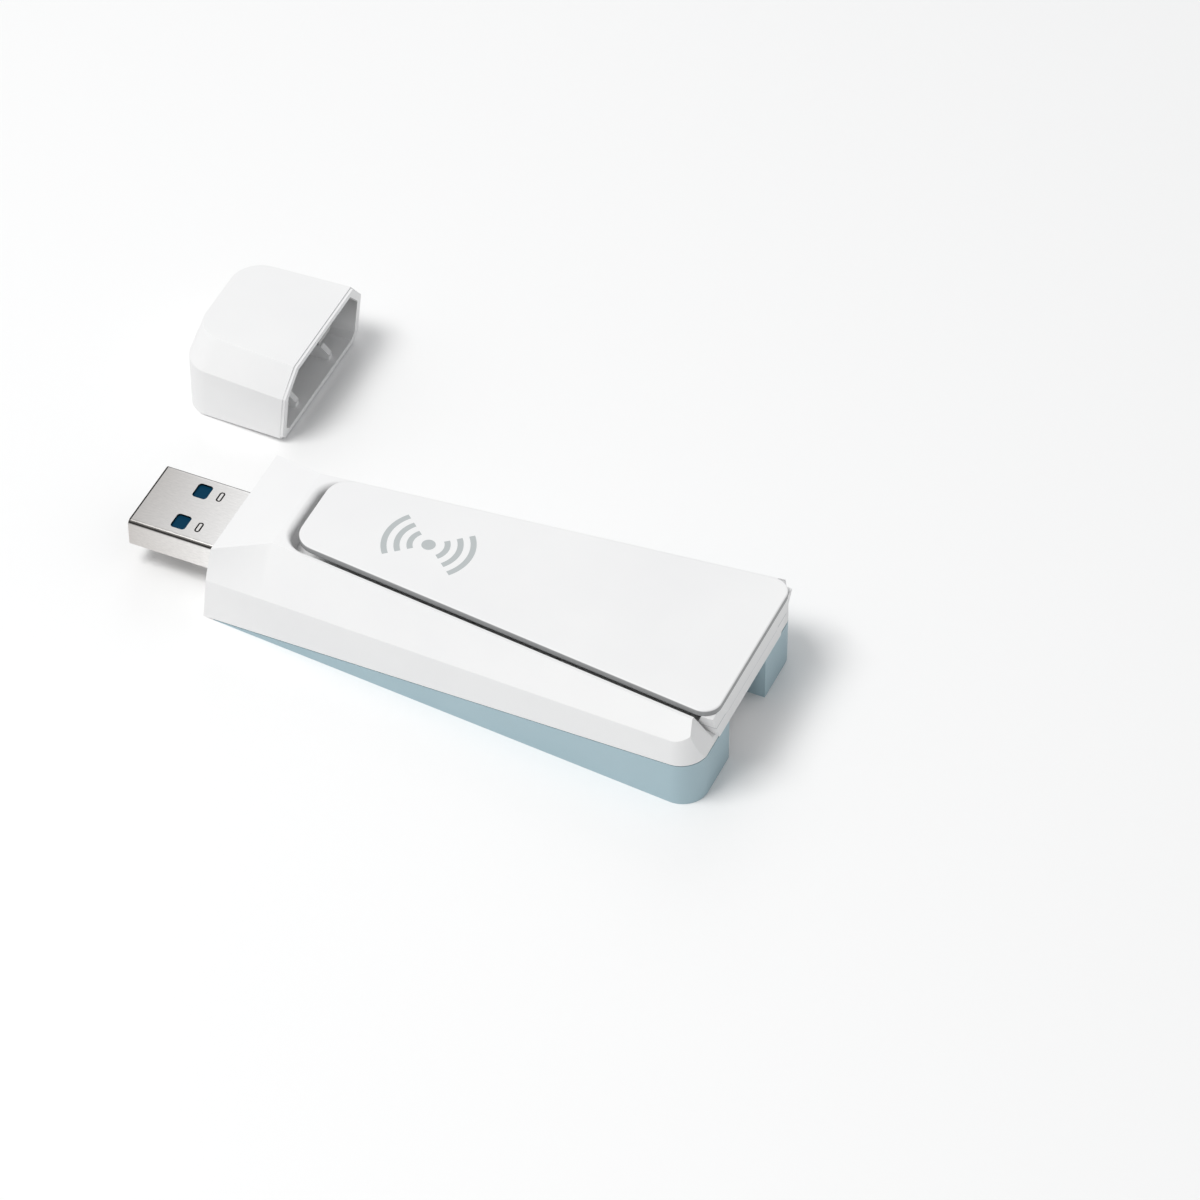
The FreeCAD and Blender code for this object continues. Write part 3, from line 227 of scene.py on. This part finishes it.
def noise(nodes, links, scale, detail, roughness=0.55, stretch=(1, 1, 1)):
    """Object-space noise with its own scale, in features per millimetre."""
    coord = nodes.new("ShaderNodeTexCoord")
    mapping = nodes.new("ShaderNodeMapping")
    mapping.inputs["Scale"].default_value = [s / MM for s in stretch]
    texture = nodes.new("ShaderNodeTexNoise")
    set_socket(texture, "Scale", scale)
    set_socket(texture, "Detail", detail)
    set_socket(texture, "Roughness", roughness)
    links.new(coord.outputs["Object"], mapping.inputs["Vector"])
    links.new(mapping.outputs["Vector"], texture.inputs["Vector"])
    return texture


def ramp(nodes, links, source, stops):
    """Colour ramp on a noise factor; stops are (position, colour)."""
    node = nodes.new("ShaderNodeValToRGB")
    elements = node.color_ramp.elements
    for element, (position, value) in ((elements[0], stops[0]), (elements[1], stops[-1])):
        element.position = position
        element.color = colour(value)
    for position, value in stops[1:-1]:
        element = elements.new(position)
        element.color = colour(value)
    links.new(source.outputs["Fac"], node.inputs["Fac"])
    return node


def value_range(nodes, links, source, low, high, floor=0.0, ceiling=1.0):
    node = nodes.new("ShaderNodeMapRange")
    set_socket(node, "From Min", floor)
    set_socket(node, "From Max", ceiling)
    set_socket(node, "To Min", low)
    set_socket(node, "To Max", high)
    links.new(source.outputs["Fac"], node.inputs["Value"])
    return node


def bump(nodes, links, source, shader, distance_mm, strength):
    node = nodes.new("ShaderNodeBump")
    set_socket(node, "Distance", distance_mm * MM)
    set_socket(node, "Strength", strength)
    links.new(source.outputs["Fac"], node.inputs["Height"])
    links.new(node.outputs["Normal"], shader.inputs["Normal"])


def object_axes(nodes, links):
    """X, Y and Z outputs of the object's own coordinates, in metres."""
    coord = nodes.new("ShaderNodeTexCoord")
    split = nodes.new("ShaderNodeSeparateXYZ")
    links.new(coord.outputs["Object"], split.inputs["Vector"])
    return split.outputs["X"], split.outputs["Y"], split.outputs["Z"]


def calc(nodes, links, operation, first, second=0.0):
    """Maths node on sockets or plain numbers; returns its output."""
    node = nodes.new("ShaderNodeMath")
    node.operation = operation
    for index, value in enumerate((first, second)):
        if isinstance(value, float):
            node.inputs[index].default_value = value
        else:
            links.new(value, node.inputs[index])
    return node.outputs["Value"]


def blend_tone(nodes, links, factor, first, second):
    """Colour mix; each colour is a socket or a plain colour."""
    mix = nodes.new("ShaderNodeMix")
    mix.data_type = "RGBA"
    links.new(factor, mix.inputs["Factor"])
    for name, value in (("A", first), ("B", second)):
        if isinstance(value, tuple):
            mix.inputs[name].default_value = colour(value)
        else:
            links.new(value, mix.inputs[name])
    return mix.outputs["Result"]


def fade(nodes, links, value, start, end):
    """0 below start and 1 above end, in metres."""
    node = nodes.new("ShaderNodeMapRange")
    set_socket(node, "From Min", start)
    set_socket(node, "From Max", end)
    links.new(value, node.inputs["Value"])
    return node.outputs["Result"]


def drifting_tone(nodes, links, shade, base):
    """Output of a tone that drifts slowly between two colours."""
    drift = noise(nodes, links, DRIFT_SCALE, DRIFT_DETAIL)
    tone = ramp(nodes, links, drift, [(DRIFT_STOPS[0], shade), (DRIFT_STOPS[1], base)])
    return tone.outputs["Color"]


def surface_grain(nodes, links, shader, scale, low, high, depth, strength):
    """Spark-eroded grain in the roughness and in the bump."""
    fine = noise(nodes, links, scale, GRAIN_DETAIL, GRAIN_ROUGHNESS)
    rough = value_range(nodes, links, fine, low, high, *GRAIN_RANGE)
    links.new(rough.outputs["Result"], shader.inputs["Roughness"])
    bump(nodes, links, fine, shader, depth, strength)


def moulded_plastic(name, base, shade, roughness, grain=7.0, depth=0.02, strength=0.35,
                    specular=0.5):
    """Moulded plastic: soft tone drift and a fine surface grain."""
    material, nodes, links = new_material(name)
    shader = nodes["Principled BSDF"]
    links.new(drifting_tone(nodes, links, shade, base), shader.inputs["Base Color"])
    surface_grain(nodes, links, shader, grain, roughness - PLASTIC_SPREAD[0],
                  roughness + PLASTIC_SPREAD[1], depth, strength)
    set_socket(shader, "Specular IOR Level", specular)
    return material


def metal(name, base, shade, roughness, stretch, grain=3.0, depth=0.01, strength=0.25):
    """Metal with a directional grain: stretch scales the grain on each axis."""
    material, nodes, links = new_material(name)
    shader = nodes["Principled BSDF"]
    set_socket(shader, "Metallic", 1.0)
    drift = noise(nodes, links, METAL_DRIFT_SCALE, METAL_DETAIL)
    tone = ramp(nodes, links, drift, [(METAL_DRIFT_STOPS[0], shade), (METAL_DRIFT_STOPS[1], base)])
    links.new(tone.outputs["Color"], shader.inputs["Base Color"])
    fine = noise(nodes, links, grain, METAL_DETAIL, METAL_GRAIN_ROUGHNESS, stretch)
    rough = value_range(nodes, links, fine, roughness - METAL_SPREAD[0],
                        roughness + METAL_SPREAD[1], *GRAIN_RANGE)
    links.new(rough.outputs["Result"], shader.inputs["Roughness"])
    bump(nodes, links, fine, shader, depth, strength)
    return material


# ---------------------------------------------------------------- materials
def signal_mask(nodes, links, x, y, centre_x):
    """1 on a dot with three arcs on each side, the usual sign for radio waves."""
    along = calc(nodes, links, "ABSOLUTE", calc(nodes, links, "SUBTRACT", x, centre_x))
    across = calc(nodes, links, "ABSOLUTE", y)
    along_square = calc(nodes, links, "MULTIPLY", along, along)
    across_square = calc(nodes, links, "MULTIPLY", across, across)
    radius = calc(nodes, links, "SQRT", calc(nodes, links, "ADD", along_square, across_square))
    slope = math.tan(math.radians(MARK_ARC_HALF_ANGLE))
    sector = calc(nodes, links, "LESS_THAN", across, calc(nodes, links, "MULTIPLY", along, slope))
    rings = calc(nodes, links, "LESS_THAN", radius, 0.0)
    for ring_radius in MARK_ARC_RADII:
        offset = calc(nodes, links, "ABSOLUTE", calc(nodes, links, "SUBTRACT", radius, ring_radius * MM))
        ring = calc(nodes, links, "LESS_THAN", offset, MARK_ARC_WIDTH / 2 * MM)
        rings = calc(nodes, links, "MAXIMUM", rings, ring)
    arcs = calc(nodes, links, "MULTIPLY", rings, sector)
    dot = calc(nodes, links, "LESS_THAN", radius, MARK_DOT_RADIUS * MM)
    return calc(nodes, links, "MAXIMUM", arcs, dot)


def arm_face_plastic():
    """White face of the arm with its printed mark; the band round its edge is painted grey as shade."""
    material, nodes, links = new_material("arm_face_plastic")
    shader = nodes["Principled BSDF"]
    low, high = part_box("antenna_outer_cover")
    x, y, z = object_axes(nodes, links)
    tone = drifting_tone(nodes, links, SHELL_SHADE, SHELL_LIGHT)
    mark = signal_mask(nodes, links, x, y, low.x + MARK_START * MM)
    face = blend_tone(nodes, links, mark, tone, MARK_COLOUR)
    # Painted shade: the face's side walls below this height are grey instead of white.
    band_top = high.z - ARM_BAND_TOP * MM
    above = fade(nodes, links, z, band_top - ARM_BAND_BLUR * MM, band_top)
    links.new(blend_tone(nodes, links, above, ARM_BAND_PAINTED_SHADE, face), shader.inputs["Base Color"])
    surface_grain(nodes, links, shader, GRAIN_SCALE, *FACE_ROUGHNESS, GRAIN_DEPTH, GRAIN_STRENGTH)
    return material


def cap_plastic():
    """White plastic; painted shade darkens the cavity from its floor up to its ceiling."""
    material, nodes, links = new_material("cap_plastic")
    shader = nodes["Principled BSDF"]
    low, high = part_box("plug_cap")
    x, y, z = object_axes(nodes, links)
    tone = drifting_tone(nodes, links, SHELL_SHADE, SHELL_LIGHT)
    across = calc(nodes, links, "ABSOLUTE", calc(nodes, links, "SUBTRACT", y, (low.y + high.y) / 2))
    half_room = (high.y - low.y) / 2 - CAP_ROOM_WALL * MM
    within = calc(nodes, links, "LESS_THAN", across, half_room)
    below_roof = calc(nodes, links, "LESS_THAN", z, high.z - CAP_ROOM_WALL * MM)
    past_end = fade(nodes, links, x, low.x + CAP_ROOM_START * MM, low.x + CAP_ROOM_FULL * MM)
    shoulder = calc(nodes, links, "ADD", across, calc(nodes, links, "MULTIPLY", z, CAP_ROOM_SLOPE))
    below_shoulder = calc(nodes, links, "LESS_THAN", shoulder, CAP_ROOM_SHOULDER * MM)
    room = calc(nodes, links, "MULTIPLY", calc(nodes, links, "MULTIPLY", within, below_roof),
                calc(nodes, links, "MULTIPLY", past_end, below_shoulder))
    # Painted shade: the cavity's walls grow darker with height, up towards its ceiling.
    height = fade(nodes, links, z, CAP_PAINTED_SHADE_START * MM, CAP_PAINTED_SHADE_END * MM)
    shaded = calc(nodes, links, "MULTIPLY", room, height)
    links.new(blend_tone(nodes, links, shaded, tone, CAP_ROOM_PAINTED_SHADE), shader.inputs["Base Color"])
    surface_grain(nodes, links, shader, GRAIN_SCALE, *FACE_ROUGHNESS, GRAIN_DEPTH, GRAIN_STRENGTH)
    return material


def arm_tray_plastic():
    """Underside of the arm: white sloping border round a greyer flat panel."""
    material, nodes, links = new_material("arm_tray_plastic")
    shader = nodes["Principled BSDF"]
    z = object_axes(nodes, links)[2]
    panel = ARM_PANEL_HEIGHT * MM
    over = fade(nodes, links, z, panel + ARM_PANEL_REACH * MM, panel + 2 * ARM_PANEL_REACH * MM)
    under = fade(nodes, links, z, panel - 2 * ARM_PANEL_REACH * MM, panel - ARM_PANEL_REACH * MM)
    flat = calc(nodes, links, "MULTIPLY", under, calc(nodes, links, "SUBTRACT", 1.0, over))
    tone = drifting_tone(nodes, links, SHELL_SHADE, SHELL_LIGHT)
    links.new(blend_tone(nodes, links, flat, tone, ARM_PANEL_COLOUR), shader.inputs["Base Color"])
    surface_grain(nodes, links, shader, GRAIN_SCALE, *TRAY_ROUGHNESS, GRAIN_DEPTH, GRAIN_STRENGTH)
    return material


def plug_painted_dark_mask(nodes, links, axes, low, high):
    """1 where dark is painted: as a reflection on the plug's rounded top edges and on the line at its
    tip, and as shade in the embossed lines.
    """
    x, y, z = axes
    across = calc(nodes, links, "ABSOLUTE", y)
    side_start = high.y - PLUG_EDGE_WIDTH * MM
    near_side = fade(nodes, links, across, side_start, side_start + PLUG_EDGE_BLUR * MM)
    band_start = high.z - PLUG_TOP_BAND * MM
    near_top = fade(nodes, links, z, band_start, band_start + PLUG_EDGE_BLUR * MM)
    tip_line = calc(nodes, links, "LESS_THAN", x, low.x + PLUG_TIP_WIDTH * MM)
    edge = calc(nodes, links, "MULTIPLY", calc(nodes, links, "MAXIMUM", near_side, tip_line), near_top)
    sunk = calc(nodes, links, "LESS_THAN", z, high.z - PLUG_EMBOSS_DEPTH * MM)
    on_top = calc(nodes, links, "GREATER_THAN", z, high.z - PLUG_TOP_BAND * MM)
    inside = calc(nodes, links, "LESS_THAN", across, PLUG_EMBOSS_HALF_WIDTH * MM)
    emboss = calc(nodes, links, "MULTIPLY", calc(nodes, links, "MULTIPLY", sunk, on_top), inside)
    return calc(nodes, links, "MAXIMUM", edge, emboss)


def plug_steel():
    """Drawn steel: grain along the plug, painted dark reflection on its rounded edges, painted shade in
    its emboss lines, and a painted reflection of the housing that lightens it at the root.
    """
    material, nodes, links = new_material("plug_steel")
    shader = nodes["Principled BSDF"]
    set_socket(shader, "Metallic", 1.0)
    low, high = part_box("usb_plug_shell")
    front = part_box("top_housing")[0].x
    x, y, z = object_axes(nodes, links)
    # Painted reflection: the plug grows lighter towards the housing, as if the white body were mirrored
    # in it.
    along = fade(nodes, links, x, low.x, front)
    grain = noise(nodes, links, PLUG_GRAIN_SCALE, METAL_DETAIL, METAL_GRAIN_ROUGHNESS,
                  PLUG_GRAIN_STRETCH)
    speckle = ramp(nodes, links, grain, [(GRAIN_RANGE[0], PLUG_SPECKLE_SHADE),
                                         (GRAIN_RANGE[1], PLUG_SPECKLE_LIGHT)])
    tone = blend_tone(nodes, links, along, PLUG_TIP_TONE, PLUG_ROOT_PAINTED_REFLECTION)
    grained = nodes.new("ShaderNodeMix")
    grained.data_type = "RGBA"
    grained.blend_type = "MULTIPLY"
    set_socket(grained, "Factor", 1.0)
    links.new(tone, grained.inputs["A"])
    links.new(speckle.outputs["Color"], grained.inputs["B"])
    # Painted dark reflection on the rounded edges and painted shade in the embossed lines.
    painted_dark = plug_painted_dark_mask(nodes, links, (x, y, z), low, high)
    links.new(blend_tone(nodes, links, painted_dark, grained.outputs["Result"], PLUG_PAINTED_REFLECTION_AND_SHADE),
              shader.inputs["Base Color"])
    rough = value_range(nodes, links, grain, *PLUG_ROUGHNESS, *GRAIN_RANGE)
    links.new(rough.outputs["Result"], shader.inputs["Roughness"])
    bump(nodes, links, grain, shader, PLUG_GRAIN_DEPTH, GRAIN_STRENGTH)
    return material


def circuit_board():
    """Green solder mask with a faint weave in its tone, roughness and bump."""
    material, nodes, links = new_material("solder_mask")
    shader = nodes["Principled BSDF"]
    weave = noise(nodes, links, BOARD_WEAVE_SCALE, BOARD_WEAVE_DETAIL, BOARD_WEAVE_FALLOFF,
                  BOARD_WEAVE_STRETCH)
    tone = ramp(nodes, links, weave, BOARD_STOPS)
    links.new(tone.outputs["Color"], shader.inputs["Base Color"])
    rough = value_range(nodes, links, weave, *BOARD_ROUGHNESS)
    links.new(rough.outputs["Result"], shader.inputs["Roughness"])
    bump(nodes, links, weave, shader, BOARD_WEAVE_DEPTH, BOARD_WEAVE_STRENGTH)
    return material


MATERIALS = {
    "arm_inner": arm_tray_plastic(),
    "plug_steel": plug_steel(),
    "circuit_board": circuit_board(),
}
for slot, row in PLAIN_PLASTICS.items():
    MATERIALS[slot] = moulded_plastic(*row)
for slot, row in SMALL_PLASTICS.items():
    MATERIALS[slot] = moulded_plastic(slot, *row)
for slot, row in SMALL_METALS.items():
    MATERIALS[slot] = metal(slot, *row)
NODE_MATERIALS = {
    "antenna_outer_cover": arm_face_plastic(),
    "plug_cap": cap_plastic(),
}


def node_material(node, slot):
    return NODE_MATERIALS.get(node, MATERIALS[slot])


def assign(obj, material):
    obj.data.materials.clear()
    obj.data.materials.append(material)


def finish_cad_nodes():
    """Every CAD node that stays gets its material."""
    for row in frame["record"]["subparts"]:
        node = row["node"]
        assign(frame["nodes"][node], node_material(node, row["material_slot"]))


# ---------------------------------------------------------------- softened copies of the shells
def parting_offset(point, low, high):
    """Height of a point above the plane where the white and blue shells meet, in millimetres."""
    length = (high.x - low.x) / MM
    slope = PARTING_RISE / (length - PARTING_START)
    return point.z / MM - slope * ((point.x - low.x) / MM - PARTING_START)


def mark_soft_edges(work, node):
    """Weights for the rounding: full on corners and ridges, slight on the parting line and the mouth."""
    low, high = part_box("top_housing")
    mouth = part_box("plug_cap")[1].x - MOUTH_BAND * MM
    areas = {face: face.calc_area() for face in work.faces}
    weight = work.edges.layers.float.new("bevel_weight_edge")
    for edge in work.edges:
        if len(edge.link_faces) != 2:
            continue
        angle = math.degrees(edge.calc_face_angle(0.0))
        narrowest = min(areas[face] for face in edge.link_faces) / edge.calc_length() / MM
        ridge = angle > RIDGE_ANGLE and narrowest > RIDGE_FACE_WIDTH
        if angle > SHARP_ANGLE or ridge:
            offsets = [abs(parting_offset(vertex.co, low, high)) for vertex in edge.verts]
            edge[weight] = PARTING_EDGE_SHARE if max(offsets) < PARTING_REACH else 1.0
            if node == "plug_cap" and min(vertex.co.x for vertex in edge.verts) > mouth:
                edge[weight] = MOUTH_EDGE_SHARE


def soft_copy(node, body, slot_name, width_mm, segments):
    """Copy of a CAD node whose sharp edges are rounded, in place of the node."""
    source = frame["nodes"][node]
    mesh = source.data.copy()
    mesh.name = node + "_skin"
    work = bmesh.new()
    work.from_mesh(mesh)
    bmesh.ops.remove_doubles(work, verts=work.verts, dist=MERGE_DISTANCE * MM)
    bmesh.ops.dissolve_limit(work, angle_limit=math.radians(MERGE_ANGLE), verts=work.verts,
                             edges=work.edges)
    mark_soft_edges(work, node)
    work.to_mesh(mesh)
    work.free()
    skin = bpy.data.objects.new(node + "_skin", mesh)
    bpy.context.scene.collection.objects.link(skin)
    edge = skin.modifiers.new("soft_edge", "BEVEL")
    edge.limit_method = "WEIGHT"
    edge.width = width_mm * MM
    edge.segments = segments
    edge.use_clamp_overlap = True
    for polygon in mesh.polygons:
        polygon.use_smooth = True
    weighted = skin.modifiers.new("weighted_normals", "WEIGHTED_NORMAL")
    weighted.keep_sharp = False
    weighted.weight = NORMAL_WEIGHT
    assign(skin, node_material(node, slot_name))
    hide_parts(node)
    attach(skin, body)


def body_of_node(node):
    bodies = frame["record"]["behaviour"]["bodies"]
    return next(body for body, members in bodies.items() if node in members)


def soften_shells():
    slots = {row["node"]: row["material_slot"] for row in frame["record"]["subparts"]}
    for node, (width, segments) in SOFT_EDGES.items():
        soft_copy(node, body_of_node(node), slots[node], width, segments)


# ---------------------------------------------------------------- stage
def make_camera():
    azimuth = math.radians(CAMERA_AZIMUTH)
    elevation = math.radians(CAMERA_ELEVATION)
    ahead = Vector((-math.sin(azimuth) * math.cos(elevation), math.cos(azimuth) * math.cos(elevation),
                    -math.sin(elevation)))
    right = Vector((math.cos(azimuth), math.sin(azimuth), 0.0))
    up = right.cross(ahead)
    place = Vector(CAMERA_AIM) - ahead * CAMERA_DISTANCE
    data = bpy.data.cameras.new("camera")
    data.lens = CAMERA_LENS
    data.sensor_width = CAMERA_SENSOR
    camera = bpy.data.objects.new("camera", data)
    camera.matrix_world = Matrix((
        (right.x, up.x, -ahead.x, place.x),
        (right.y, up.y, -ahead.y, place.y),
        (right.z, up.z, -ahead.z, place.z),
        (0, 0, 0, 1),
    ))
    bpy.context.scene.collection.objects.link(camera)
    bpy.context.scene.camera = camera


def make_lights():
    for name, (place, aim, size, power, tint) in LIGHTS.items():
        data = bpy.data.lights.new(name, "AREA")
        data.size = size
        data.energy = power
        data.color = tint
        lamp = bpy.data.objects.new(name, data)
        lamp.location = place
        direction = Vector(aim) - Vector(place)
        lamp.rotation_euler = direction.to_track_quat("-Z", "Y").to_euler()
        bpy.context.scene.collection.objects.link(lamp)


def make_world():
    world = bpy.data.worlds.new("studio")
    world.use_nodes = True
    background = world.node_tree.nodes["Background"]
    set_socket(background, "Color", colour(WORLD_COLOUR))
    set_socket(background, "Strength", WORLD_LEVEL)
    bpy.context.scene.world = world


def make_floor():
    half = FLOOR_SIZE / 2
    mesh = bpy.data.meshes.new("floor")
    corners = [(-half, -half, 0), (half, -half, 0), (half, half, 0), (-half, half, 0)]
    mesh.from_pydata(corners, [], [(0, 1, 2, 3)])
    floor = bpy.data.objects.new("floor", mesh)
    bpy.context.scene.collection.objects.link(floor)
    material = moulded_plastic("floor_paint", FLOOR_COLOUR, FLOOR_COLOUR, FLOOR_ROUGHNESS,
                               FLOOR_GRAIN, depth=0.0, strength=0.0)
    assign(floor, material)


bpy.context.scene.view_settings.view_transform = "Standard"
make_camera()
finish_cad_nodes()
soften_shells()
make_lights()
make_world()
make_floor()
